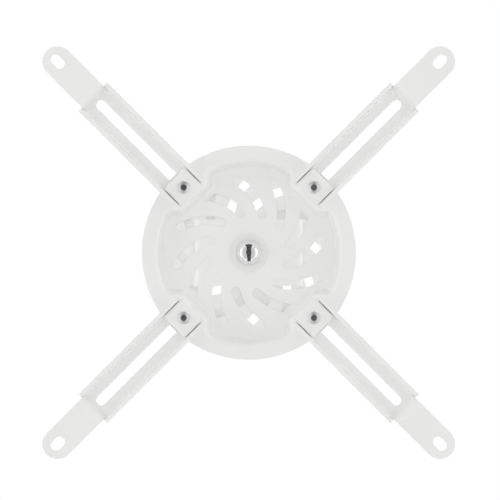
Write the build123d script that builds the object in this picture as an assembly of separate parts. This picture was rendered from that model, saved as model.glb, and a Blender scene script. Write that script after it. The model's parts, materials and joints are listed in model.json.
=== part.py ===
from build123d import *
import math
import os

os.makedirs("parts", exist_ok=True)

# Driving dimensions, in millimetres and degrees. +Z is up and z = 0 is the ceiling.

# Pressed plates, used once at the ceiling and once at the projector
plate_sheet = 1.8
plate_radius = 63.5
brim_width = 9.0
crown_depth = 8.0
wall_run = 3.0
bend_inside = 1.2
lobe_half_width = 25.0
lobe_corner = 4.0
screw_edge = 9.0
plateau_land = 8.5

# Swirl slots
slot_count = 12
slot_width = 5.2
slot_inner = 24.3
slot_outer = 43.5
slot_sweep = 28.1
slot_floor_margin = 1.4
projector_swirl_start = 18.5
ceiling_swirl_start = 28.5

# Ball joint
ball_diameter = 15.0
liner_thickness = 0.5
ball_fit = 0.05
ball_rise = 0.5
cup_mouth_round = 5.5
cup_base_round = 2.2
tilt_limit = 15.0
neck_diameter = 6.5
neck_margin = 0.4
liner_low = 2.6
liner_top_angle = 54.0
collar_rim_angle = 50.0
collar_rim = 1.5
collar_wall = 4.05

# Stud and its fasteners
stud_diameter = 8.0
stud_hole_gap = 0.3
stud_nut_flats = 13.0
stud_nut_height = 5.8
lock_collar_diameter = 11.6
lock_collar_height = 2.2
lock_collar_chamfer = 0.8
clamp_nut_height = 6.5
jam_nut_height = 4.0
stud_washer_diameter = 16.0
stud_washer_thickness = 1.6
spring_washer_diameter = 14.8
spring_washer_thickness = 2.0
nut_space = 1.5
nut_bevel = 1.0
stud_end = 2.1
stud_chamfer = 0.8

# Drop bracket
bracket_sheet = 3.0
bracket_length = 66.0
bracket_width = 40.0
bracket_height = 38.0
bracket_bend = 4.0
foot_edge = 4.5
foot_screw_x = 16.5
foot_screw_y = 9.0

# Small screws, washers and nuts
screw_diameter = 4.0
screw_hole_gap = 0.3
screw_tail = 1.5
thread_gap = 0.05
small_nut_flats = 7.0
small_nut_height = 3.2
small_washer_diameter = 9.0
small_washer_thickness = 0.8
button_diameter = 7.6
button_height = 2.2
button_flat = 0.25
socket_flats = 2.5
socket_depth = 1.4
pan_diameter = 8.0
pan_height = 2.4
pan_chamfer = 0.7
ceiling_hole_diameter = 6.5

# Clamp pads
pad_length = 16.0
pad_thickness = 3.0
pad_side_gap = 0.8
pad_corner = 1.5
pad_edge = 0.6
pad_relief = 1.0
slide_gap = 0.1

# Working allowances for cutters and for picking edges
cut_past = 1.0
close_enough = 0.001

# Arms
arm_width = 24.0
arm_sheet = 2.5
arm_bend = 1.5
flange_height = 7.0
arm_tail = 5.2
tongue_wall = 4.5
arm_slot_width = 6.0
arm_slot_play = 1.0
arm_slot_length = 70.3
flange_past_slot = 3.5
joggle_past_slot = 2.2
joggle_run = 5.0
joggle_bend = 2.0
lug_proud = 2.0
lug_reach = 25.7
lug_width = 18.0
lug_hole_width = 6.2
lug_hole_length = 9.4

# Sizes that follow from the ones above
screw_radius = screw_diameter / 2
clear_hole_radius = screw_radius + screw_hole_gap
nut_bore_radius = screw_radius + thread_gap
stud_radius = stud_diameter / 2
stud_bore_radius = stud_radius + thread_gap
stud_hole_radius = stud_radius + stud_hole_gap
mouth_radius = plate_radius - brim_width
screw_circle = plate_radius - screw_edge
plateau_edge = screw_circle - plateau_land
wall_angle = math.atan2(wall_run, crown_depth)
skin_offset = plate_sheet * (1 - math.sin(wall_angle)) / math.cos(wall_angle)
bend_outside = bend_inside + plate_sheet
ball_radius = ball_diameter / 2
liner_inner = ball_radius + ball_fit
liner_outer = liner_inner + liner_thickness
cup_inner = liner_outer + ball_fit
cup_outer = cup_inner + plate_sheet
neck_radius = neck_diameter / 2
both_tilts = math.acos(math.cos(math.radians(tilt_limit)) ** 2)
cup_hole_angle = both_tilts + math.asin(neck_radius / cup_outer)
cup_hole_radius = cup_outer * math.sin(cup_hole_angle) + neck_margin
liner_high = liner_inner * math.cos(math.radians(liner_top_angle))
collar_sphere = cup_outer + ball_fit
collar_low = collar_sphere * math.cos(math.radians(collar_rim_angle))
collar_radius = collar_sphere * math.sin(math.radians(collar_rim_angle)) + collar_rim

# Heights, measured up from the ball centre and then hung from the ceiling
collar_top = collar_sphere + collar_wall
spring_top = collar_top + spring_washer_thickness
clamp_nut_top = spring_top + clamp_nut_height
jam_low = clamp_nut_top + nut_space
jam_top = jam_low + jam_nut_height
web_low = jam_top + stud_washer_thickness + slide_gap
web_top = web_low + bracket_sheet
top_washer_low = web_top + slide_gap
top_nut_low = top_washer_low + stud_washer_thickness
top_nut_shoulder = top_nut_low + stud_nut_height
top_nut_top = top_nut_shoulder + lock_collar_height
stud_top = top_nut_top + stud_end
bracket_top = web_low + bracket_height
ceiling_height = bracket_top + plate_sheet + crown_depth
ball_z = -ceiling_height
plate_z = ball_z - crown_depth - ball_rise
arm_z = plate_z - slide_gap
pad_z = arm_z - arm_sheet - slide_gap
pad_width = arm_width - 2 * arm_sheet - 2 * pad_side_gap

# Places along an arm, measured outward from its screw
slot_start = -arm_slot_play
slot_end = slot_start + arm_slot_length
slot_tip = slot_end + arm_slot_width / 2
flange_end = slot_tip + flange_past_slot
joggle_start = slot_tip + joggle_past_slot
joggle_end = joggle_start + joggle_run
joggle_drop = flange_height - arm_sheet + lug_proud
lug_hole = joggle_end + lug_reach


def rod(radius, low, high):
    # A solid cylinder between two heights
    return Pos(0, 0, (low + high) / 2) * Cylinder(radius, high - low)


def bore(radius, low, high):
    # A cutter that runs a little past both faces
    return rod(radius, low - cut_past, high + cut_past)


def ring(outer, inner, low, high):
    # A plain ring between two heights
    return rod(outer, low, high) - bore(inner, low, high)


def recess_outline(growth):
    # Outline of the plate's recess, a circle less the four raised corners, grown evenly all round
    rim = mouth_radius + growth
    half = lobe_half_width + growth
    cut = (plateau_edge + growth) * math.sqrt(2) - half
    far = plate_radius * 2
    corner = make_face(Polyline((half, cut), (cut, half), (far, half), (far, far), (half, far), close=True))
    outline = Circle(rim)
    for turn in range(4):
        outline = outline - Rot(0, 0, 90 * turn) * corner
    tips = [point for point in outline.vertices() if math.hypot(point.X, point.Y) > rim - close_enough]
    outline = fillet(tips, lobe_corner + growth)
    root = math.hypot(half, cut)
    roots = [point for point in outline.vertices() if abs(math.hypot(point.X, point.Y) - root) < close_enough]
    return fillet(roots, lobe_corner - growth)


def recess_block(growth, low, high):
    # The recess as a solid whose walls lean inward as they rise
    mouth = recess_outline(growth)
    floor = recess_outline(growth - wall_run)
    return loft([Pos(0, 0, low) * mouth.face(), Pos(0, 0, high) * floor.face()], ruled=True)


def edges_at(part, height):
    # Bend edges lying in one level of a plate, without the plate's rim
    chosen = ShapeList()
    for edge in part.edges():
        points = [edge @ share for share in (0, 0.5, 1)]
        level = all(abs(point.Z - height) < close_enough for point in points)
        inside = math.hypot(points[1].X, points[1].Y) < plate_radius - close_enough
        if level and inside:
            chosen.append(edge)
    return chosen


def swirl_slots(start):
    # Curved slots round the plate, held inside the flat of the recess
    points = []
    for share in (0, 0.5, 1):
        reach = slot_inner + share * (slot_outer - slot_inner)
        angle = math.radians(start - share * slot_sweep)
        points.append((reach * math.cos(angle), reach * math.sin(angle)))
    slot = SlotArc(ThreePointArc(*points), slot_width)
    field = offset(recess_outline(-wall_run), -bend_inside - slot_floor_margin)
    slots = Sketch()
    for number in range(slot_count):
        slots = slots + Rot(0, 0, 360 / slot_count * number) * slot
    return slots & field


def on_circle(radius, count, first):
    # Points spaced evenly round the plate
    places = []
    for number in range(count):
        angle = math.radians(first + 360 / count * number)
        places.append((radius * math.cos(angle), radius * math.sin(angle)))
    return places


def pressed_plate(start, corner_hole_radius):
    # Brim face at z = 0, crown raised to +Z
    crown_top = crown_depth + plate_sheet
    plate = Pos(0, 0, plate_sheet / 2) * Cylinder(plate_radius, plate_sheet)
    plate = plate + recess_block(skin_offset, plate_sheet, crown_top)
    plate = plate - recess_block(0, 0, crown_depth)
    for height in (0, crown_top):
        plate = fillet(edges_at(plate, height), bend_outside)
    plate = plate - extrude(swirl_slots(start), crown_top + cut_past)
    for x, y in on_circle(screw_circle, 4, 45):
        plate = plate - Pos(x, y, 0) * bore(corner_hole_radius, 0, plate_sheet)
    return plate


def small_nut(low, high):
    # A plain hexagon nut for the small screws
    body = extrude(RegularPolygon(small_nut_flats / 2, 6, major_radius=False), high - low)
    return Pos(0, 0, low) * body - bore(nut_bore_radius, low, high)


def stud_hexagon(low, high):
    # A hexagon nut for the stud, with its corners turned off at both ends
    inner = stud_nut_flats / 2
    corner = stud_nut_flats / math.sqrt(3)
    body = Pos(0, 0, low) * extrude(RegularPolygon(inner, 6, major_radius=False), high - low)
    profile = Polyline(
        (0, low),
        (inner, low),
        (corner, low + nut_bevel),
        (corner, high - nut_bevel),
        (inner, high),
        (0, high),
        close=True,
    )
    turned = revolve(make_face(Plane.XZ * profile), Axis.Z)
    return (body & turned) - bore(stud_bore_radius, low, high)


def above(shape, height):
    # The part of a shape above a level
    size = plate_radius * 4
    return shape & (Pos(0, 0, height + size / 2) * Box(size, size, size))


def central_circles(part, height, largest):
    # Round edges about the plate's axis at one level, up to a radius
    chosen = []
    for edge in part.edges().filter_by(GeomType.CIRCLE):
        off_axis = math.hypot(edge.arc_center.X, edge.arc_center.Y)
        off_level = abs(edge.arc_center.Z - height)
        if max(off_axis, off_level) < close_enough and edge.radius < largest + close_enough:
            chosen.append(edge)
    return chosen


def ball_cup_plate():
    # The projector plate: pressed plate with a cup pressed up over the ball
    centre = crown_depth + ball_rise
    plate = pressed_plate(projector_swirl_start, clear_hole_radius)
    bulge = above(Pos(0, 0, centre) * Sphere(cup_outer), crown_depth)
    plate = plate + bulge
    plate = fillet(central_circles(plate, crown_depth + plate_sheet, cup_outer), cup_base_round)
    hollow = Pos(0, 0, centre) * Sphere(cup_inner) + rod(cup_inner, crown_depth - cut_past, centre)
    plate = plate - hollow
    plate = fillet(central_circles(plate, crown_depth, cup_inner), cup_mouth_round)
    return plate - rod(cup_hole_radius, centre, centre + cup_outer * 2)


def button_screw(head_z, tip_z):
    # Button-head screw with a hex socket, head below
    dome = math.sqrt(button_height * button_height + button_diameter * button_diameter / 4)
    sphere_radius = dome * dome / (2 * button_height)
    head = Pos(0, 0, head_z - button_height + sphere_radius) * Sphere(sphere_radius)
    head = head & rod(button_diameter / 2, head_z - button_height, head_z)
    flat = rod(button_diameter, head_z - button_height - cut_past, head_z - button_height + button_flat)
    socket = extrude(RegularPolygon(socket_flats / 2, 6, major_radius=False), socket_depth)
    head = head - flat - Pos(0, 0, head_z - button_height) * socket
    return head + rod(screw_radius, head_z, tip_z)


def pan_screw(head_z, tip_z):
    # Low pan-head screw, head above
    head = rod(pan_diameter / 2, head_z, head_z + pan_height)
    head = chamfer(head.edges().group_by(Axis.Z)[-1], pan_chamfer)
    drive = extrude(RegularPolygon(socket_flats / 2, 6, major_radius=False), -socket_depth)
    head = head - Pos(0, 0, head_z + pan_height) * drive
    return head + rod(screw_radius, tip_z, head_z)


def spread(shape, places):
    # Copies of one shape at several places, kept as separate solids
    return Compound(children=[Pos(x, y, 0) * shape for x, y in places])


def foot_places():
    # The four bracket screws
    return [(sx * foot_screw_x, sy * foot_screw_y) for sx in (-1, 1) for sy in (-1, 1)]


def make_bracket():
    # One folded strip: web below, two legs, two feet turned inward
    middle = bracket_sheet / 2
    half = bracket_length / 2 - middle
    top = bracket_top - middle
    low = web_low + middle
    inner = foot_screw_x - foot_edge
    path = FilletPolyline(
        (-inner, top),
        (-half, top),
        (-half, low),
        (half, low),
        (half, top),
        (inner, top),
        radius=bracket_bend - middle,
    )
    strip = extrude(Plane.XZ * trace(path, bracket_sheet), bracket_width / 2, both=True)
    strip = strip - bore(stud_hole_radius, web_low, web_top)
    foot_hole = bore(clear_hole_radius, bracket_top - bracket_sheet, bracket_top)
    for x, y in foot_places():
        strip = strip - Pos(x, y, 0) * foot_hole
    return Pos(0, 0, ball_z) * strip


def make_arm():
    # Channel arm along +X from its screw at the origin, web top at z = 0
    length = flange_end + arm_tail
    outer = Pos(0, -flange_height / 2) * Rectangle(arm_width, flange_height)
    outer = fillet(outer.vertices().group_by(Axis.Y)[-1], arm_bend + arm_sheet)
    inside = Pos(0, -arm_sheet - flange_height) * Rectangle(arm_width - 2 * arm_sheet, flange_height * 2)
    inside = fillet(inside.vertices().group_by(Axis.Y)[-1], arm_bend)
    channel = Pos(-arm_tail, 0, 0) * extrude(Plane.YZ * (outer - inside), length)
    web_end = joggle_start - joggle_bend
    window = (flange_end - web_end) * 2
    channel = channel - Pos(web_end + window / 2, 0, 0) * Box(window, lug_width, flange_height * 4)
    middle = -arm_sheet / 2
    path = FilletPolyline(
        (web_end - lug_width / 2, middle),
        (joggle_start, middle),
        (joggle_end, middle - joggle_drop),
        (lug_hole + lug_width, middle - joggle_drop),
        radius=joggle_bend,
    )
    strip = extrude(Plane.XZ * trace(path, arm_sheet), lug_width / 2, both=True)
    plan = Pos(lug_hole / 2, 0) * Rectangle(lug_hole, lug_width) + Pos(lug_hole, 0) * Circle(lug_width / 2)
    deep = joggle_drop + flange_height
    strip = strip & extrude(plan, deep, both=True)
    tongue = Pos(slot_start, 0, -arm_sheet) * extrude(Circle(arm_slot_width / 2 + tongue_wall), arm_sheet)
    arm = channel + strip + tongue
    middle_slot = (slot_start + slot_end) / 2
    slot = Pos(middle_slot, 0) * SlotCenterToCenter(slot_end - slot_start, arm_slot_width)
    hole = Pos(lug_hole, 0) * SlotOverall(lug_hole_length, lug_hole_width)
    return arm - extrude(slot + hole, deep, both=True)


def make_pad():
    # Clamp pad that lies in an arm's channel, top face at z = 0
    plan = RectangleRounded(pad_length, pad_width, pad_corner)
    pad = Pos(0, 0, -pad_thickness) * extrude(plan, pad_thickness)
    pad = fillet(pad.edges().group_by(Axis.Z)[0], pad_edge)
    pad = chamfer(pad.edges().group_by(Axis.Z)[-1], pad_relief)
    return pad - bore(clear_hole_radius, -pad_thickness, 0)


# The two plates
projector_plate = Pos(0, 0, plate_z) * ball_cup_plate()
ceiling_plate = Rot(180, 0, 0) * pressed_plate(ceiling_swirl_start, ceiling_hole_diameter / 2)
crown_low = ball_z + bracket_top
crown_hole = bore(clear_hole_radius, crown_low, crown_low + plate_sheet)
for x, y in foot_places():
    ceiling_plate = ceiling_plate - Pos(x, y, 0) * crown_hole
export_step(projector_plate, "parts/projector_plate.step")
export_step(ceiling_plate, "parts/ceiling_plate.step")

# The bracket and its screws
export_step(make_bracket(), "parts/drop_bracket.step")
foot_low = crown_low - bracket_sheet
nut_low = foot_low - small_nut_height
bracket_screw = pan_screw(crown_low + plate_sheet, nut_low - screw_tail)
bracket_nut = small_nut(nut_low, foot_low)
export_step(spread(bracket_screw, foot_places()), "parts/bracket_screws.step")
export_step(spread(bracket_nut, foot_places()), "parts/bracket_nuts.step")

# The ball joint
shank = rod(stud_radius, collar_sphere, stud_top)
shank = chamfer(shank.edges().group_by(Axis.Z)[-1], stud_chamfer)
stud = Sphere(ball_radius) + rod(neck_radius, 0, collar_sphere) + shank
liner = Sphere(liner_outer) - Sphere(liner_inner)
liner = liner & rod(liner_outer * 2, liner_low, liner_high)
collar = ring(collar_radius, stud_hole_radius, collar_low, collar_top)
collar = collar - Sphere(collar_sphere)
spring = ring(spring_washer_diameter / 2, stud_hole_radius, collar_top, spring_top)
clamp_nut = stud_hexagon(spring_top, clamp_nut_top)
jam_nut = stud_hexagon(jam_low, jam_top)
lock_collar = ring(lock_collar_diameter / 2, stud_bore_radius, top_nut_shoulder, top_nut_top)
lock_rim = lock_collar.edges().group_by(Axis.Z)[-1].sort_by(SortBy.RADIUS)[-1]
stud_nut = stud_hexagon(top_nut_low, top_nut_shoulder) + chamfer(lock_rim, lock_collar_chamfer)
washers = Compound(
    children=[
        ring(stud_washer_diameter / 2, stud_hole_radius, jam_top, jam_top + stud_washer_thickness),
        ring(stud_washer_diameter / 2, stud_hole_radius, top_washer_low, top_nut_low),
    ]
)
ball_place = Pos(0, 0, ball_z)
export_step(ball_place * stud, "parts/ball_stud.step")
export_step(ball_place * liner, "parts/ball_liner.step")
export_step(ball_place * collar, "parts/friction_cup.step")
export_step(ball_place * spring, "parts/spring_washer.step")
export_step(ball_place * clamp_nut, "parts/clamp_nut.step")
export_step(ball_place * jam_nut, "parts/jam_nut.step")
export_step(ball_place * stud_nut, "parts/stud_nut.step")
export_step(ball_place * washers, "parts/stud_washers.step")

# The arm fasteners
corners = on_circle(screw_circle, 4, 45)
washer_low = plate_z + plate_sheet
washer_top = washer_low + small_washer_thickness
arm_nut_top = washer_top + small_nut_height
arm_screw = button_screw(pad_z - pad_thickness, arm_nut_top + screw_tail)
arm_washer = ring(small_washer_diameter / 2, clear_hole_radius, washer_low, washer_top)
arm_nut = small_nut(washer_top, arm_nut_top)
export_step(spread(arm_screw, corners), "parts/arm_screws.step")
export_step(spread(arm_washer, corners), "parts/arm_washers.step")
export_step(spread(arm_nut, corners), "parts/arm_nuts.step")

# The four arms and their pads, rear right first and then anticlockwise seen from above
arm = make_arm()
pad = make_pad()
for number, name in enumerate(("right_rear", "left_rear", "left_front", "right_front")):
    x, y = corners[number]
    turn = 45 + 90 * number
    export_step(Pos(x, y, arm_z) * Rot(0, 0, turn) * arm, "parts/arm_" + name + ".step")
    export_step(Pos(x, y, pad_z) * Rot(0, 0, turn) * pad, "parts/clamp_pad_" + name + ".step")
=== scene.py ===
import json
import math

import bmesh
import bpy
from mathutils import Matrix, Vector


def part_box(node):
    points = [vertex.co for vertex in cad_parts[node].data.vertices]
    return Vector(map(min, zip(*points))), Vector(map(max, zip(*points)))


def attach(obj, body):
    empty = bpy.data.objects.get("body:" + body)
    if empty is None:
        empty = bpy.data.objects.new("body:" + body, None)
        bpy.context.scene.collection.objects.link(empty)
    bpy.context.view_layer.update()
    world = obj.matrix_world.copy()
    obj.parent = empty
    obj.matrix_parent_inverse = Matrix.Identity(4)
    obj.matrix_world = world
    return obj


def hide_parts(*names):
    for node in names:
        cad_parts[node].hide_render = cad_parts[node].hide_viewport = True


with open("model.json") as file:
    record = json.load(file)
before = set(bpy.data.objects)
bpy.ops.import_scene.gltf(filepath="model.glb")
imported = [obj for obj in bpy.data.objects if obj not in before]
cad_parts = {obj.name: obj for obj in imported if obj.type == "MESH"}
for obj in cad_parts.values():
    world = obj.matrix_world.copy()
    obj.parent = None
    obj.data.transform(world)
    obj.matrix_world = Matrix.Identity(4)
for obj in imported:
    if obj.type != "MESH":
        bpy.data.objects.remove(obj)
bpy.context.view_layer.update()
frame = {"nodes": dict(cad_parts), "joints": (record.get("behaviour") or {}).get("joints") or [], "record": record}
NODES = frame["nodes"]
MM = 0.001

# Camera: straight up from below, photograph right = +X and photograph up = -Y
FRAME_WIDTH = 0.296
CAMERA_DISTANCE = 2.2
SUBJECT_LEVEL = -0.09
CAMERA_X = 0.0007
CAMERA_Y = -0.0016
SENSOR = 36.0
CLIP_START = 0.1
CLIP_END = 50.0
EYE = (CAMERA_X, CAMERA_Y, SUBJECT_LEVEL - CAMERA_DISTANCE)

# Studio
FLOOR_LEVEL = -6.0
FLOOR_HALF = 14.0
FLOOR_GLOW = 0.34
WORLD_FILL = 0.70
SIDE_POWER = 3.3
SIDE_PLACE = (1.4, 0.0, -0.5)
SIDE_SIZE = (1.1, 1.1)
FRONT_POWER = 2.2
FRONT_PLACE = (0.0, 1.4, -0.5)
FRONT_SIZE = (1.1, 1.1)
AXIS_POWER = 8.6
AXIS_SIZE = (0.06, 0.06)
TOP_POWER = 5.0
TOP_PLACE = (-1.2, -1.0, 1.7)
TOP_SIZE = (1.4, 1.4)
REFLECTOR_X = 2.5
REFLECTOR_HALF = 2.2
REFLECTOR_LOW = -1.5
REFLECTOR_HIGH = 0.25
REFLECTOR_DIM = 0.68
REFLECTOR_GLOW = 1.75
SCRIM_LEVEL = -3.0
SCRIM_HALF = (5.0, 6.0)

# Colours and finish of the studio's panels, and the dark cloth band as stations of
# (y, level, left end, right end) round the camera side of the room
WHITE = (1.0, 1.0, 1.0, 1.0)
FLOOR_TONES = ((0.84, 0.84, 0.83), (0.86, 0.86, 0.85))
FLAG_TONES = ((0.012, 0.012, 0.012), (0.14, 0.14, 0.14))
SCRIM_TONES = ((0.84, 0.84, 0.85), (0.9, 0.9, 0.9))
REFLECTOR_TONES = ((0.1, 0.1, 0.1), (0.12, 0.12, 0.12))
BOARD_ROUGHNESS = 0.8
CLOTH_ROUGHNESS = 0.9
FLAG_STATIONS = (
    (-2.4, -0.25, -1.25, 1.3),
    (-2.4, -1.6, -1.0, 1.05),
    (-1.6, -2.7, -1.05, 1.1),
    (0.0, -2.7, -1.35, 1.15),
    (1.0, -2.7, -0.95, 1.0),
    (2.4, -1.6, -0.55, 0.8),
    (2.4, -0.25, -0.5, 0.55),
)
QUAD = [(0, 1, 2, 3)]

# Range that a noise mostly keeps to
NOISE_LOW = 0.3
NOISE_HIGH = 0.7

# Edges of the sheet metal and of the fasteners, angles in degrees
SHEET_EDGE = 0.3 * MM
FASTENER_EDGE = 0.12 * MM
LOCK_EDGE = FASTENER_EDGE / 3
EDGE_STEPS = 2
EDGE_ANGLE = 38.0
SHARP_ANGLE = 35.0
FLAT_ANGLE = 0.3
NORMAL_WEIGHT = 60
WELD_GAP = 1e-6
MERGE_GAP = 1e-7

# Fasteners, matching the CAD sizes. The pairs of a profile are in millimetres.
AXIS = (0.0, 0.0)
ROUND_SEGMENTS = 48
BORE_GAP = 0.05 * MM
FOOT_X = 16.5 * MM
FOOT_Y = 9.0 * MM
SMALL_RADIUS = 2.0 * MM
SMALL_PITCH = 0.7 * MM
SMALL_FLATS = 7.0 * MM
STUD_RADIUS = 4.0 * MM
STUD_PITCH = 1.25 * MM
STUD_FLATS = 13.0 * MM

# Threads in shares of their pitch, and how far they and a screw's core run into the nut
THREAD_DEPTH = 0.61
THREAD_ROOT = (0.0, 0.2)
THREAD_CREST = (0.48, 0.62)
THREAD_LAP = 1.6 * MM
CORE_SHARE = 0.97
CORE_LAP = 1.4 * MM

# Ball stud
BALL_RADIUS = 7.5 * MM
BALL_STEPS = 40
NECK_RADIUS = 3.25 * MM
NECK_FLARE = 0.35 * MM
NECK_BLEND = ((0.1, 0.2), (0.0, 0.5))
SHANK_START = 9.95 * MM
SHANK_CHAMFER = 0.2 * MM
SHANK_FACE = 0.8
SHANK_POINT = 1.0 * MM

# Screw heads and their sockets
BUTTON_RADIUS = 3.8 * MM
BUTTON_HEIGHT = 2.2 * MM
BUTTON_STEPS = 8
BUTTON_INSET = 0.08 * MM
BUTTON_RIM = ((0.03, 0.05), (0.06, 0.0))
PAN_RADIUS = 4.0 * MM
PAN_HEIGHT = 2.4 * MM
PAN_PROFILE = ((1.1, 0.0), (0.45, 0.35), (0.1, 0.95), (0.0, 1.7))
SOCKET_FLATS = 2.9 * MM
SOCKET_RIM = 1.85 * MM
# The socket's bands, from its floor to its rim, that take the painted socket shade
SHADED_SOCKET_BANDS = 3
SOCKET_POINT = 1.65 * MM
SOCKET_DEPTH = 1.35 * MM
SOCKET_CHAMFER = 0.2 * MM

# Nuts, and the locking nut's collar and insert
NUT_FACE = 0.97
NUT_SINK = 0.35 * MM
NUT_BEVEL = 30.0
LOCK_RADIUS = 5.8 * MM
LOCK_HEIGHT = 2.2 * MM
LOCK_SINK = 0.4 * MM
LOCK_SEAT = 0.95 * MM
LOCK_SEAT_LOW = 0.2 * MM
LOCK_SEAT_TOP = 0.05 * MM
LOCK_FOOT = ((0.1, 0.12), (-0.02, 0.5))
LOCK_CROWN = ((-0.05, 0.8), (-0.3, 0.25), (-0.65, 0.0))
INSERT_GAP = 0.02 * MM
INSERT_FOOT = 0.3 * MM
INSERT_TOP = 0.3 * MM
INSERT_CROWN = (0.45, 0.2)
INSERT_MOUTH = 0.45 * MM

# Lip round the ball: radius, and level from the ball's centre
LIP_PROFILE = (
    (11.25, -0.38),
    (10.6, -0.20),
    (9.6, 0.02),
    (8.6, 0.14),
    (7.8, 0.10),
    (7.58, 0.12),
    (7.54, 0.20),
    (7.56, 0.40),
    (8.3, 0.46),
    (9.0, 0.60),
    (9.6, 0.38),
    (10.4, -0.07),
)

# Slot blanks: their profile, the angle between places, and for each circle its radius,
# the angle of its first place and the places that are closed
BLANK_PROFILE = ((4.9, 0.0), (4.95, 0.2), (4.8, 0.42), (4.3, 0.58), (3.2, 0.66))
BLANK_STEP = -30.0
INNER_BLANKS = (30.0 * MM, -19.0, (0, 1, 4, 5, 6, 8, 9, 11))
OUTER_BLANKS = (41.3 * MM, -4.0, (1, 4, 5, 6, 7, 8, 10))

# Split spring washer: radii, the section's share of the height, and the gap in degrees
SPRING_OUTER = 7.4 * MM
SPRING_INNER = 4.3 * MM
SPRING_SECTION = 0.88
SPRING_GAP = 9.0
SPRING_STEPS = 72


# Materials

def new_material(name):
    # An empty node material with a Principled shader
    material = bpy.data.materials.new(name)
    material.use_nodes = True
    shader = material.node_tree.nodes["Principled BSDF"]
    return material, material.node_tree, shader


def noise(tree, scale, detail=2.0, roughness=0.5, stretch=(1.0, 1.0, 1.0)):
    # Noise in the object's own coordinates, in metres
    place = tree.nodes.new("ShaderNodeTexCoord")
    mapping = tree.nodes.new("ShaderNodeMapping")
    mapping.inputs["Scale"].default_value = stretch
    texture = tree.nodes.new("ShaderNodeTexNoise")
    texture.inputs["Scale"].default_value = scale
    texture.inputs["Detail"].default_value = detail
    texture.inputs["Roughness"].default_value = roughness
    tree.links.new(place.outputs["Object"], mapping.inputs["Vector"])
    tree.links.new(mapping.outputs["Vector"], texture.inputs["Vector"])
    return texture.outputs["Fac"]


def ramp(tree, factor, low, high, start=0.35, stop=0.65):
    # Two colours blended by a factor
    blend = tree.nodes.new("ShaderNodeValToRGB")
    blend.color_ramp.elements[0].position = start
    blend.color_ramp.elements[0].color = (*low, 1.0)
    blend.color_ramp.elements[1].position = stop
    blend.color_ramp.elements[1].color = (*high, 1.0)
    tree.links.new(factor, blend.inputs["Fac"])
    return blend.outputs["Color"]


def spread(tree, factor, low, high):
    # A factor turned into a range of numbers
    reach = tree.nodes.new("ShaderNodeMapRange")
    reach.inputs["From Min"].default_value = NOISE_LOW
    reach.inputs["From Max"].default_value = NOISE_HIGH
    reach.inputs["To Min"].default_value = low
    reach.inputs["To Max"].default_value = high
    tree.links.new(factor, reach.inputs["Value"])
    return reach.outputs["Result"]


def bump(tree, shader, factor, strength, distance):
    # Surface relief from a factor
    relief = tree.nodes.new("ShaderNodeBump")
    relief.inputs["Strength"].default_value = strength
    relief.inputs["Distance"].default_value = distance
    tree.links.new(factor, relief.inputs["Height"])
    tree.links.new(relief.outputs["Normal"], shader.inputs["Normal"])


def white_paint():
    # Satin powder coat with a fine orange peel
    material, tree, shader = new_material("white_powder_coat")
    tone = ramp(tree, noise(tree, 22.0, 3.0), (0.885, 0.885, 0.875), (0.905, 0.905, 0.897))
    tree.links.new(tone, shader.inputs["Base Color"])
    tree.links.new(spread(tree, noise(tree, 60.0, 4.0), 0.36, 0.46), shader.inputs["Roughness"])
    shader.inputs["Specular IOR Level"].default_value = 0.5
    bump(tree, shader, noise(tree, 1100.0, 2.0, 0.4), 0.10, 0.05 * MM)
    return material


def zinc_plate():
    # Bright zinc plate on steel, slightly cloudy
    material, tree, shader = new_material("bright_zinc")
    tone = ramp(tree, noise(tree, 180.0, 5.0, 0.6), (0.76, 0.765, 0.77), (0.88, 0.88, 0.87))
    tree.links.new(tone, shader.inputs["Base Color"])
    tree.links.new(spread(tree, noise(tree, 420.0, 4.0), 0.44, 0.58), shader.inputs["Roughness"])
    shader.inputs["Metallic"].default_value = 1.0
    bump(tree, shader, noise(tree, 900.0, 3.0, 0.6, (1.0, 1.0, 6.0)), 0.10, 0.03 * MM)
    return material


# Painted shade inside a screw's socket: a dark, dull steel colour that stands in for the shade in the hollow
def painted_socket_shade():
    # Thinly plated steel inside a screw's socket, dull with grease
    material, tree, shader = new_material("painted_socket_shade")
    tone = ramp(tree, noise(tree, 600.0, 4.0), (0.19, 0.19, 0.192), (0.33, 0.33, 0.33))
    tree.links.new(tone, shader.inputs["Base Color"])
    tree.links.new(spread(tree, noise(tree, 900.0, 3.0), 0.45, 0.65), shader.inputs["Roughness"])
    shader.inputs["Metallic"].default_value = 0.6
    return material


def chrome():
    # Polished chrome with faint handling marks
    material, tree, shader = new_material("polished_chrome")
    tone = ramp(tree, noise(tree, 90.0, 4.0), (0.88, 0.885, 0.895), (0.93, 0.93, 0.935))
    tree.links.new(tone, shader.inputs["Base Color"])
    tree.links.new(spread(tree, noise(tree, 260.0, 5.0, 0.65), 0.06, 0.12), shader.inputs["Roughness"])
    shader.inputs["Metallic"].default_value = 1.0
    bump(tree, shader, noise(tree, 240.0, 3.0), 0.06, 0.05 * MM)
    return material


def nylon():
    # Natural moulded nylon
    material, tree, shader = new_material("natural_nylon")
    tone = ramp(tree, noise(tree, 70.0, 3.0), (0.78, 0.78, 0.75), (0.84, 0.84, 0.81))
    tree.links.new(tone, shader.inputs["Base Color"])
    tree.links.new(spread(tree, noise(tree, 300.0, 3.0), 0.42, 0.58), shader.inputs["Roughness"])
    bump(tree, shader, noise(tree, 700.0, 2.0), 0.08, 0.04 * MM)
    return material


# CAD nodes

def round_edges(piece, width):
    # Rounds the sharp edges and evens the shading
    edge = piece.modifiers.new("edge", "BEVEL")
    edge.width = width
    edge.segments = EDGE_STEPS
    edge.limit_method = "ANGLE"
    edge.angle_limit = math.radians(EDGE_ANGLE)
    normals = piece.modifiers.new("normals", "WEIGHTED_NORMAL")
    normals.weight = NORMAL_WEIGHT


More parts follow.
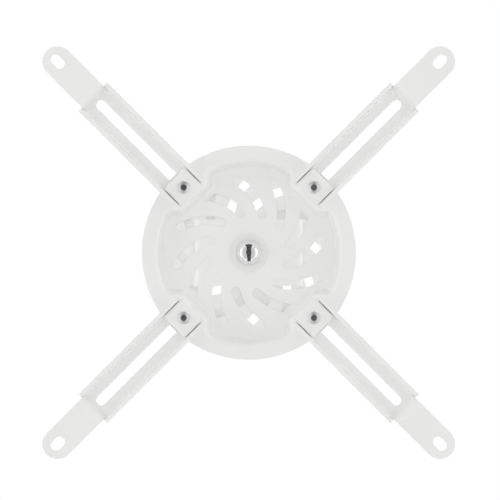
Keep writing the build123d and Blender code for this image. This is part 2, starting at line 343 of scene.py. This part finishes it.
def soften(node, width):
    # Joins a CAD node's faces and rounds its sharp edges
    weld = node.modifiers.new("weld", "WELD")
    weld.merge_threshold = WELD_GAP
    flat = node.modifiers.new("flat", "DECIMATE")
    flat.decimate_type = "DISSOLVE"
    flat.angle_limit = math.radians(FLAT_ANGLE)
    round_edges(node, width)


def dress_nodes(materials):
    # Every CAD node takes the material of its slot
    for part in frame["record"]["subparts"]:
        node = NODES[part["node"]]
        node.data.materials.clear()
        node.data.materials.append(materials[part["material_slot"]])
        soften(node, SHEET_EDGE if part["material_slot"] == "white_paint" else FASTENER_EDGE)


# Turned and hexagonal forms

def hexagon(flats):
    # Radius of a hexagon at an angle
    def radius(angle):
        return flats / 2 / math.cos((angle + math.pi / 6) % (math.pi / 3) - math.pi / 6)
    return radius


def hexagon_bevel(flats, level, direction):
    # Level of a nut's turned corner at an angle
    side = hexagon(flats)

    def height(angle):
        return level - direction * (side(angle) - flats / 2) * math.tan(math.radians(NUT_BEVEL))
    return height


def value(source, angle):
    # A plain number, or a number that depends on the angle
    return source(angle) if callable(source) else source


def bridge(bm, first, second, finish=0):
    # Faces between two rings, either of which may be a single point
    count = max(len(first), len(second))
    for number in range(count):
        after = (number + 1) % count
        corners = [first[number % len(first)], first[after % len(first)],
                   second[after % len(second)], second[number % len(second)]]
        face = list(dict.fromkeys(corners))
        if len(face) > 2:
            bm.faces.new(face).material_index = finish


def add_rings(bm, rings, centre, closed=False, inner_bands=0):
    # A turned form through rings of (radius, level) round an upright axis.
    # The first few bands can take the piece's second material, such as a socket's painted shade.
    made = []
    for radius, level in rings:
        if radius == 0:
            made.append([bm.verts.new((centre[0], centre[1], level))])
            continue
        ring = []
        for number in range(ROUND_SEGMENTS):
            angle = 2 * math.pi * number / ROUND_SEGMENTS
            reach = value(radius, angle)
            ring.append(bm.verts.new((
                centre[0] + reach * math.cos(angle),
                centre[1] + reach * math.sin(angle),
                value(level, angle),
            )))
        made.append(ring)
    if closed:
        made.append(made[0])
    for band, (first, second) in enumerate(zip(made, made[1:])):
        bridge(bm, first, second, 1 if band < inner_bands else 0)


def add_thread(bm, radius, pitch, low, high, centre):
    # A screw thread between two levels, with both its ends turned down
    root = radius - THREAD_DEPTH * pitch
    profile = [(share, root) for share in THREAD_ROOT] + [(share, radius) for share in THREAD_CREST]
    turns = int((high - low) / pitch) + 2
    rows = []
    for turn in range(-1, turns):
        for share, reach in profile:
            row = []
            for number in range(ROUND_SEGMENTS):
                angle = 2 * math.pi * number / ROUND_SEGMENTS
                level = low + pitch * (turn + share + number / ROUND_SEGMENTS)
                end = min(level - low, high - level)
                wide = min(reach, root + max(end, 0.0))
                row.append(bm.verts.new((
                    centre[0] + wide * math.cos(angle),
                    centre[1] + wide * math.sin(angle),
                    min(max(level, low), high),
                )))
            rows.append(row)
    step = len(profile)
    last = ROUND_SEGMENTS - 1
    for index in range(len(rows) - 1):
        for number in range(last):
            bm.faces.new((rows[index][number], rows[index][number + 1],
                          rows[index + 1][number + 1], rows[index + 1][number]))
        if index + step + 1 < len(rows):
            bm.faces.new((rows[index][last], rows[index + step][0],
                          rows[index + step + 1][0], rows[index + 1][last]))
    for level in (low, high):
        add_rings(bm, [(0, level), (root, level)], centre)


def make_piece(name, bm, materials, body, nodes, edge):
    # Turns a built form into a piece that rides on a body and stands for its CAD nodes
    bmesh.ops.remove_doubles(bm, verts=bm.verts, dist=MERGE_GAP)
    bmesh.ops.dissolve_degenerate(bm, edges=bm.edges, dist=MERGE_GAP)
    bmesh.ops.recalc_face_normals(bm, faces=bm.faces)
    mesh = bpy.data.meshes.new(name)
    bm.to_mesh(mesh)
    bm.free()
    mesh.polygons.foreach_set("use_smooth", [True] * len(mesh.polygons))
    mesh.set_sharp_from_angle(angle=math.radians(SHARP_ANGLE))
    for material in materials:
        mesh.materials.append(material)
    piece = bpy.data.objects.new(name, mesh)
    bpy.context.scene.collection.objects.link(piece)
    if edge:
        round_edges(piece, edge)
    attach(piece, body)
    if nodes:
        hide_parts(*nodes)
    return piece


def nut_rings(flats, bore, low, high):
    # A hexagon nut with turned corners and countersunk ends, as a closed loop
    side = hexagon(flats)
    face = flats / 2 * NUT_FACE
    return [
        (bore, low + NUT_SINK),
        (bore + NUT_SINK, low),
        (face, low),
        (side, hexagon_bevel(flats, low, -1)),
        (side, hexagon_bevel(flats, high, 1)),
        (face, high),
        (bore + NUT_SINK, high),
        (bore, high - NUT_SINK),
    ]


def arm_places():
    # Where the four arm screws are
    return [joint["pos_m"][:2] for joint in frame["joints"] if joint["name"].startswith("pivot_")]


def foot_places():
    # Where the four bracket screws are
    return [(sx * FOOT_X, sy * FOOT_Y) for sx in (-1, 1) for sy in (-1, 1)]


def socket_rings(top, direction):
    # A hexagon socket sunk from a level, from its floor to its rim
    side = hexagon(SOCKET_FLATS)
    return [
        (0, top + direction * SOCKET_POINT),
        (side, top + direction * SOCKET_DEPTH),
        (side, top + direction * SOCKET_CHAMFER),
        (SOCKET_RIM, top),
    ]


def arm_screws(zinc_and_socket_shade):
    # Button-head screws through the clamp pads, heads down
    _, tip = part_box("arm_screws")
    pad_low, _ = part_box("clamp_pad_right_rear")
    _, nut_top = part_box("arm_nuts")
    under = pad_low.z
    sphere = (BUTTON_HEIGHT ** 2 + BUTTON_RADIUS ** 2) / (2 * BUTTON_HEIGHT)
    crown = under - BUTTON_HEIGHT + sphere
    rings = socket_rings(crown - math.sqrt(sphere ** 2 - SOCKET_RIM ** 2), 1)
    for step in range(1, BUTTON_STEPS + 1):
        reach = SOCKET_RIM + (BUTTON_RADIUS - BUTTON_INSET - SOCKET_RIM) * step / BUTTON_STEPS
        rings.append((reach, crown - math.sqrt(sphere ** 2 - reach ** 2)))
    rings += [(BUTTON_RADIUS - inset * MM, under - drop * MM) for inset, drop in BUTTON_RIM]
    core = SMALL_RADIUS * CORE_SHARE
    core_end = nut_top.z - CORE_LAP
    rings += [(core, under), (core, core_end), (0, core_end)]
    bm = bmesh.new()
    for centre in arm_places():
        add_rings(bm, rings, centre, inner_bands=SHADED_SOCKET_BANDS)
        add_thread(bm, SMALL_RADIUS, SMALL_PITCH, nut_top.z - THREAD_LAP, tip.z, centre)
    return make_piece("arm_screw_set", bm, zinc_and_socket_shade, "plate", ["arm_screws"], 0)


def bracket_screws(zinc_and_socket_shade):
    # Pan-head screws through the ceiling plate and the bracket's feet, heads up
    tip, head_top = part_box("bracket_screws")
    nut_low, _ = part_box("bracket_nuts")
    under = head_top.z - PAN_HEIGHT
    rings = socket_rings(head_top.z, -1)
    rings += [(PAN_RADIUS - inset * MM, head_top.z - drop * MM) for inset, drop in PAN_PROFILE]
    core = SMALL_RADIUS * CORE_SHARE
    core_end = nut_low.z + CORE_LAP
    rings += [(PAN_RADIUS, under), (core, under), (core, core_end), (0, core_end)]
    bm = bmesh.new()
    for centre in foot_places():
        add_rings(bm, rings, centre, inner_bands=SHADED_SOCKET_BANDS)
        add_thread(bm, SMALL_RADIUS, SMALL_PITCH, tip.z, nut_low.z + THREAD_LAP, centre)
    return make_piece("bracket_screw_set", bm, zinc_and_socket_shade, "ceiling", ["bracket_screws"], 0)


def small_nuts(name, node, body, places, material):
    # Hexagon nuts on the small screws
    low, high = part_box(node)
    rings = nut_rings(SMALL_FLATS, SMALL_RADIUS + BORE_GAP, low.z, high.z)
    bm = bmesh.new()
    for centre in places:
        add_rings(bm, rings, centre, closed=True)
    return make_piece(name, bm, [material], body, [node], FASTENER_EDGE)


def stud_nut_piece(name, node, material):
    # A plain hexagon nut on the stud
    low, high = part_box(node)
    rings = nut_rings(STUD_FLATS, STUD_RADIUS + BORE_GAP, low.z, high.z)
    bm = bmesh.new()
    add_rings(bm, rings, AXIS, closed=True)
    return make_piece(name, bm, [material], "stud", [node], FASTENER_EDGE)


def lock_nut(material, insert_material):
    # The locking nut on top of the bracket, with a nylon ring in its collar
    low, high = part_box("stud_nut")
    shoulder = high.z - LOCK_HEIGHT
    bore = STUD_RADIUS + BORE_GAP
    seat = bore + LOCK_SEAT
    side = hexagon(STUD_FLATS)
    face = STUD_FLATS / 2 * NUT_FACE
    rings = [
        (bore, low.z + LOCK_SINK),
        (bore + LOCK_SINK, low.z),
        (face, low.z),
        (side, hexagon_bevel(STUD_FLATS, low.z, -1)),
        (side, hexagon_bevel(STUD_FLATS, shoulder, 1)),
        (face, shoulder),
    ]
    rings += [(LOCK_RADIUS + beyond * MM, shoulder + rise * MM) for beyond, rise in LOCK_FOOT]
    rings += [(LOCK_RADIUS + beyond * MM, high.z - drop * MM) for beyond, drop in LOCK_CROWN]
    rings += [(seat, high.z - LOCK_SEAT_TOP), (seat, shoulder + LOCK_SEAT_LOW), (bore, shoulder)]
    bm = bmesh.new()
    add_rings(bm, rings, AXIS, closed=True)
    make_piece("lock_nut", bm, [material], "stud", ["stud_nut"], LOCK_EDGE)
    beyond, drop = INSERT_CROWN
    insert = [
        (bore, shoulder + INSERT_FOOT),
        (seat - INSERT_GAP, shoulder + INSERT_FOOT),
        (seat - INSERT_GAP, high.z - INSERT_TOP),
        (bore + beyond * MM, high.z - drop * MM),
        (bore, high.z - INSERT_MOUTH),
    ]
    bm = bmesh.new()
    add_rings(bm, insert, AXIS, closed=True)
    make_piece("lock_nut_insert", bm, [insert_material], "stud", [], 0)


def ball_stud(material):
    # Polished ball on a waisted neck, with a threaded shank
    ball_low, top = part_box("ball_stud")
    ball = ball_low.z + BALL_RADIUS
    neck_start = math.sqrt(BALL_RADIUS ** 2 - (NECK_RADIUS + NECK_FLARE) ** 2)
    last = math.acos(neck_start / BALL_RADIUS)
    shank = ball + SHANK_START
    rings = [(0, ball - BALL_RADIUS)]
    for step in range(1, BALL_STEPS + 1):
        angle = math.pi - (math.pi - last) * step / BALL_STEPS
        rings.append((BALL_RADIUS * math.sin(angle), ball + BALL_RADIUS * math.cos(angle)))
    rings += [(NECK_RADIUS + beyond * MM, ball + neck_start + rise * MM) for beyond, rise in NECK_BLEND]
    rings += [
        (NECK_RADIUS, shank - SHANK_CHAMFER),
        (STUD_RADIUS * SHANK_FACE, shank),
        (0, shank + SHANK_POINT),
    ]
    bm = bmesh.new()
    add_rings(bm, rings, AXIS)
    add_thread(bm, STUD_RADIUS, STUD_PITCH, shank, top.z, AXIS)
    return make_piece("ball_stud_turned", bm, [material], "stud", ["ball_stud"], 0)


def cup_lip(material):
    # Moulded lip that closes the plate's cup round the ball
    ball_low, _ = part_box("ball_stud")
    ball = ball_low.z + BALL_RADIUS
    rings = [(reach * MM, ball + level * MM) for reach, level in LIP_PROFILE]
    bm = bmesh.new()
    add_rings(bm, rings, AXIS, closed=True)
    return make_piece("cup_lip", bm, [material], "plate", [], 0)


def slot_blanks(material):
    # Round blanks on the ceiling plate's upper face, which close the slots
    # where the photograph shows a pale surface and not the background
    _, head_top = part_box("bracket_screws")
    seat = head_top.z - PAN_HEIGHT
    crown = BLANK_PROFILE[-1][1]
    rings = [(0, seat)]
    rings += [(reach * MM, seat + level * MM) for reach, level in BLANK_PROFILE]
    rings.append((0, seat + crown * MM))
    bm = bmesh.new()
    for reach, first, numbers in (INNER_BLANKS, OUTER_BLANKS):
        for number in numbers:
            turn = math.radians(first + BLANK_STEP * number)
            add_rings(bm, rings, (reach * math.cos(turn), reach * math.sin(turn)))
    return make_piece("slot_blanks", bm, [material], "ceiling", [], 0)


def spring_washer(material):
    # A split ring whose ends stand slightly apart
    low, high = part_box("spring_washer")
    section = (high.z - low.z) * SPRING_SECTION
    rise = (high.z - low.z) - section
    gap = math.radians(SPRING_GAP)
    bm = bmesh.new()
    sections = []
    for step in range(SPRING_STEPS + 1):
        share = step / SPRING_STEPS
        angle = gap / 2 + (2 * math.pi - gap) * share
        base = low.z + rise * share
        corners = []
        for reach, level in ((SPRING_INNER, base), (SPRING_OUTER, base),
                             (SPRING_OUTER, base + section), (SPRING_INNER, base + section)):
            corners.append(bm.verts.new((reach * math.cos(angle), reach * math.sin(angle), level)))
        sections.append(corners)
    for first, second in zip(sections, sections[1:]):
        bridge(bm, first, second)
    bm.faces.new(sections[0])
    bm.faces.new(sections[-1])
    return make_piece(
        "spring_washer_split", bm, [material], "stud", ["spring_washer"], FASTENER_EDGE)


def fasteners(materials):
    # The turned and threaded pieces in full detail, with the cup's lip and the slot blanks
    zinc = materials["zinc"]
    # Zinc outside, and painted shade inside the screws' sockets
    screw_zinc_and_shade = [zinc, painted_socket_shade()]
    arm_screws(screw_zinc_and_shade)
    bracket_screws(screw_zinc_and_shade)
    small_nuts("arm_nut_set", "arm_nuts", "plate", arm_places(), zinc)
    small_nuts("bracket_nut_set", "bracket_nuts", "ceiling", foot_places(), zinc)
    stud_nut_piece("jam_nut_turned", "jam_nut", zinc)
    stud_nut_piece("clamp_nut_turned", "clamp_nut", zinc)
    lock_nut(zinc, materials["nylon"])
    ball_stud(materials["chrome"])
    cup_lip(materials["white_paint"])
    slot_blanks(materials["white_paint"])
    spring_washer(zinc)


# Studio

def seen_directly(tree, unseen, seen):
    # One number for what the camera, polished metal and glass see, another for other rays
    path = tree.nodes.new("ShaderNodeLightPath")
    either = tree.nodes.new("ShaderNodeMath")
    either.operation = "MAXIMUM"
    direct = tree.nodes.new("ShaderNodeMath")
    direct.operation = "MAXIMUM"
    strength = tree.nodes.new("ShaderNodeMapRange")
    strength.inputs["To Min"].default_value = unseen
    strength.inputs["To Max"].default_value = seen
    tree.links.new(path.outputs["Is Camera Ray"], either.inputs[0])
    tree.links.new(path.outputs["Is Glossy Ray"], either.inputs[1])
    tree.links.new(either.outputs[0], direct.inputs[0])
    tree.links.new(path.outputs["Is Transmission Ray"], direct.inputs[1])
    tree.links.new(direct.outputs[0], strength.inputs["Value"])
    return strength.outputs["Result"]


def white_world():
    # White to the camera and in reflections, dimmer as a light on the object
    world = bpy.data.worlds.new("studio")
    bpy.context.scene.world = world
    world.use_nodes = True
    tree = world.node_tree
    background = tree.nodes["Background"]
    background.inputs["Color"].default_value = WHITE
    tree.links.new(seen_directly(tree, WORLD_FILL, 1.0), background.inputs["Strength"])


def softbox(name, sign, place, size, power):
    # An area light aimed at the object, whose place the sign can turn to the other side
    light = bpy.data.lights.new(name, "AREA")
    light.shape = "RECTANGLE"
    light.size, light.size_y = size
    light.energy = power
    lamp = bpy.data.objects.new(name, light)
    bpy.context.scene.collection.objects.link(lamp)
    lamp.location = (sign * place[0], sign * place[1], place[2])
    aim = Vector((0.0, 0.0, SUBJECT_LEVEL)) - lamp.location
    lamp.rotation_euler = aim.to_track_quat("-Z", "Y").to_euler()
    lamp.visible_camera = False
    lamp.visible_glossy = False


def level_corners(half_x, half_y, level):
    # Corners of a level panel round the object's axis
    return [(-half_x, -half_y, level), (half_x, -half_y, level),
            (half_x, half_y, level), (-half_x, half_y, level)]


def panel(name, corners, faces, tones, roughness):
    # A panel of the studio, not part of the object, mottled between two colours
    mesh = bpy.data.meshes.new(name)
    mesh.from_pydata(corners, [], faces)
    made = bpy.data.objects.new(name, mesh)
    bpy.context.scene.collection.objects.link(made)
    material, tree, shader = new_material(name)
    tone = ramp(tree, noise(tree, 3.0, 4.0), *tones)
    tree.links.new(tone, shader.inputs["Base Color"])
    shader.inputs["Roughness"].default_value = roughness
    mesh.materials.append(material)
    return made


def floor():
    # A plain floor under the room, pale as the background but still shaded
    corners = level_corners(FLOOR_HALF, FLOOR_HALF, FLOOR_LEVEL)
    ground = panel("floor", corners, QUAD, FLOOR_TONES, BOARD_ROUGHNESS)
    tree = ground.data.materials[0].node_tree
    shader = tree.nodes["Principled BSDF"]
    shader.inputs["Emission Color"].default_value = WHITE
    tree.links.new(seen_directly(tree, 0.0, FLOOR_GLOW), shader.inputs["Emission Strength"])


def only_in_metal(board):
    # Keeps a panel out of sight but for reflections, with no shadow or bounced light
    board.visible_camera = False
    board.visible_diffuse = False
    board.visible_shadow = False


def flag():
    # A dark cloth band round the camera side of the room, seen only in reflections
    corners = []
    faces = []
    for y, z, left, right in FLAG_STATIONS:
        corners += [(left, y, z), (right, y, z)]
    for number in range(len(FLAG_STATIONS) - 1):
        first = 2 * number
        faces.append((first, first + 1, first + 3, first + 2))
    only_in_metal(panel("flag", corners, faces, FLAG_TONES, CLOTH_ROUGHNESS))


def scrim():
    # A pale grey cloth behind the flag, seen only in reflections
    corners = level_corners(*SCRIM_HALF, SCRIM_LEVEL)
    only_in_metal(panel("scrim", corners, QUAD, SCRIM_TONES, CLOTH_ROUGHNESS))


def glow_upward(reflector):
    # Light that grows from the reflector's lower edge to its upper edge
    tree = reflector.data.materials[0].node_tree
    shader = tree.nodes["Principled BSDF"]
    place = tree.nodes.new("ShaderNodeTexCoord")
    parts = tree.nodes.new("ShaderNodeSeparateXYZ")
    strength = tree.nodes.new("ShaderNodeMapRange")
    strength.inputs["From Min"].default_value = REFLECTOR_LOW
    strength.inputs["From Max"].default_value = REFLECTOR_HIGH
    strength.inputs["To Min"].default_value = REFLECTOR_DIM
    strength.inputs["To Max"].default_value = REFLECTOR_GLOW
    tree.links.new(place.outputs["Object"], parts.inputs["Vector"])
    tree.links.new(parts.outputs["Z"], strength.inputs["Value"])
    tree.links.new(strength.outputs["Result"], shader.inputs["Emission Strength"])
    shader.inputs["Emission Color"].default_value = WHITE


def reflectors():
    # A tall white reflector on each side, seen only in reflections
    for sign, side in ((-1, "left"), (1, "right")):
        x = sign * REFLECTOR_X
        corners = [(x, -REFLECTOR_HALF, REFLECTOR_LOW), (x, REFLECTOR_HALF, REFLECTOR_LOW),
                   (x, REFLECTOR_HALF, REFLECTOR_HIGH), (x, -REFLECTOR_HALF, REFLECTOR_HIGH)]
        board = panel("reflector_" + side, corners, QUAD, REFLECTOR_TONES, BOARD_ROUGHNESS)
        glow_upward(board)
        only_in_metal(board)


def studio():
    # Floor, panels for the reflections, softboxes and the white surroundings.
    # The lamp at the camera lights what shows through the slots.
    white_world()
    floor()
    flag()
    scrim()
    reflectors()
    for sign, side in ((-1, "left"), (1, "right")):
        softbox("softbox_" + side, sign, SIDE_PLACE, SIDE_SIZE, SIDE_POWER)
    for sign, end in ((-1, "front"), (1, "rear")):
        softbox("softbox_" + end, sign, FRONT_PLACE, FRONT_SIZE, FRONT_POWER)
    softbox("softbox_axis", 1, EYE, AXIS_SIZE, AXIS_POWER)
    softbox("softbox_top", 1, TOP_PLACE, TOP_SIZE, TOP_POWER)


def camera():
    # The photograph's viewpoint
    data = bpy.data.cameras.new("camera")
    data.sensor_width = SENSOR
    data.lens = SENSOR * CAMERA_DISTANCE / FRAME_WIDTH
    data.clip_start = CLIP_START
    data.clip_end = CLIP_END
    eye = bpy.data.objects.new("camera", data)
    bpy.context.scene.collection.objects.link(eye)
    eye.location = EYE
    eye.rotation_euler = (math.pi, 0.0, 0.0)
    bpy.context.scene.camera = eye


bpy.context.scene.view_settings.view_transform = "Standard"
MATERIALS = {"white_paint": white_paint(), "zinc": zinc_plate(), "chrome": chrome(), "nylon": nylon()}
dress_nodes(MATERIALS)
fasteners(MATERIALS)
studio()
camera()
